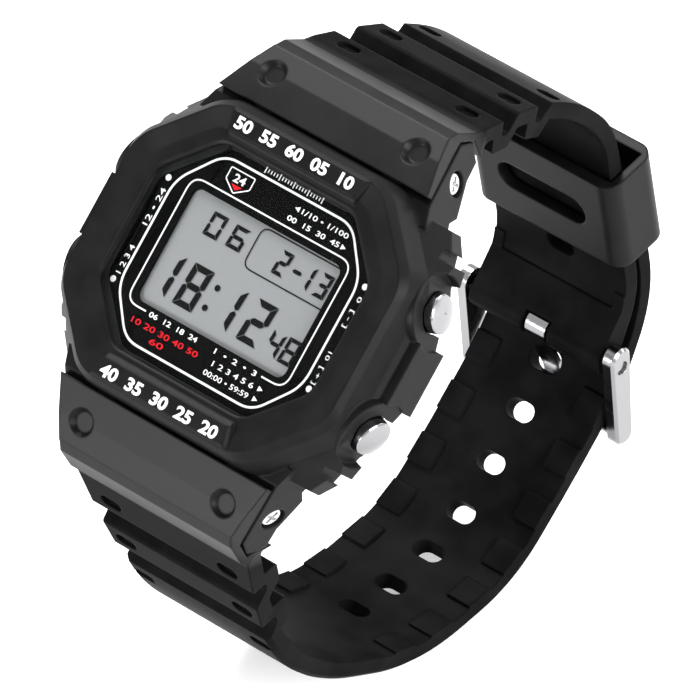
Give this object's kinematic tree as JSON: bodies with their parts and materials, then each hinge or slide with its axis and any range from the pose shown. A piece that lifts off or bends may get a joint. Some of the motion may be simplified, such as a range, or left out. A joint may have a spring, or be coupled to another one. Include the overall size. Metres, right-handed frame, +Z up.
{
  "type": "digital wristwatch",
  "caption": "Square digital wristwatch with guarded push buttons and a ribbed resin strap buckled in a closed loop, standing on the strap.",
  "frame": {"origin": "centre of the case back's flat outer face", "axes": "+X to 3 o'clock, +Z up with the dial leaning back by 43.7 degrees, the dial faces -Y and up"},
  "size_m": [0.0442, 0.0732, 0.074],
  "materials": {
    "black_resin": "satin",
    "strap_resin": "matte",
    "case_resin": "satin",
    "polished_steel": "polished",
    "screw_steel": "polished",
    "spring_steel": "satin",
    "cover_steel": "brushed",
    "mineral_glass": "clear",
    "seal_rubber": "matte",
    "dial_print": "gloss",
    "display_cell": "satin",
    "light_panel": "matte",
    "module_resin": "matte",
    "board_laminate": "satin",
    "chip_resin": "matte",
    "can_metal": "satin",
    "cell_steel": "satin",
    "contact_brass": "satin"
  },
  "bodies": {
    "watch_case": {"bezel": "black_resin", "bezel_screws": "screw_steel", "middle_case": "case_resin", "crystal": "mineral_glass", "crystal_gasket": "seal_rubber", "face_plate": "dial_print", "display_glass": "display_cell", "backlight_panel": "light_panel", "display_connectors": "seal_rubber", "module_frame": "module_resin", "circuit_board": "board_laminate", "control_chip": "chip_resin", "quartz_can": "can_metal", "side_contacts": "spring_steel", "battery": "cell_steel", "battery_clip": "spring_steel", "buzzer": "contact_brass", "earth_spring": "spring_steel", "back_cover": "cover_steel", "back_gasket": "seal_rubber", "back_screws": "screw_steel", "button_seals": "seal_rubber", "spring_bar_12": "spring_steel", "spring_bar_6": "spring_steel", "spring_upper_right": "spring_steel", "spring_lower_right": "spring_steel", "spring_upper_left": "spring_steel", "spring_lower_left": "spring_steel"},
    "button_upper_right": {"button_upper_right": "polished_steel", "clip_upper_right": "spring_steel"},
    "button_lower_right": {"button_lower_right": "polished_steel", "clip_lower_right": "spring_steel"},
    "button_upper_left": {"button_upper_left": "polished_steel", "clip_upper_left": "spring_steel"},
    "button_lower_left": {"button_lower_left": "polished_steel", "clip_lower_left": "spring_steel"},
    "short_half": {"strap_short": "strap_resin", "buckle_pin": "spring_steel"},
    "long_half": {"strap_long": "strap_resin"},
    "keeper": {"keeper": "strap_resin"},
    "buckle": {"buckle_frame": "polished_steel"},
    "prong": {"buckle_prong": "polished_steel"}
  },
  "joints": [
    {"name": "press_upper_right", "type": "slide", "parent": "watch_case", "child": "button_upper_right", "axis": [-0.9563, -0.2114, -0.202], "range_m": [0, 0.0008], "stiffness_N_per_m": 400, "springref_m": -0.001, "deforming": ["spring_upper_right"]},
    {"name": "press_lower_right", "type": "slide", "parent": "watch_case", "child": "button_lower_right", "axis": [-0.9563, 0.2114, 0.202], "range_m": [0, 0.0008], "stiffness_N_per_m": 400, "springref_m": -0.001, "deforming": ["spring_lower_right"]},
    {"name": "press_upper_left", "type": "slide", "parent": "watch_case", "child": "button_upper_left", "axis": [0.9563, -0.2114, -0.202], "range_m": [0, 0.0008], "stiffness_N_per_m": 400, "springref_m": -0.001, "deforming": ["spring_upper_left"]},
    {"name": "press_lower_left", "type": "slide", "parent": "watch_case", "child": "button_lower_left", "axis": [0.9563, 0.2114, 0.202], "range_m": [0, 0.0008], "stiffness_N_per_m": 400, "springref_m": -0.001, "deforming": ["spring_lower_left"]},
    {"name": "short_half_swing", "type": "hinge", "parent": "watch_case", "child": "short_half", "pos_m": [0, 0.01378, 0.01801], "axis": [1, 0, 0], "range_deg": [-0.15, 0.15]},
    {"name": "long_half_swing", "type": "hinge", "parent": "watch_case", "child": "long_half", "pos_m": [0, -0.01861, -0.01294], "axis": [1, 0, 0], "range_deg": [-0.15, 0.15]},
    {"name": "keeper_slide", "type": "slide", "parent": "short_half", "child": "keeper", "axis": [0, 0.1835, -0.983], "range_m": [-0.0015, 0.0015]},
    {"name": "buckle_swing", "type": "hinge", "parent": "short_half", "child": "buckle", "pos_m": [0, 0.04198, -0.02768], "axis": [1, 0, 0], "range_deg": [0, 1.5]},
    {"name": "prong_swing", "type": "hinge", "parent": "buckle", "child": "prong", "pos_m": [0, 0.04198, -0.02768], "axis": [1, 0, 0], "range_deg": [0, 1.2]}
  ]
}
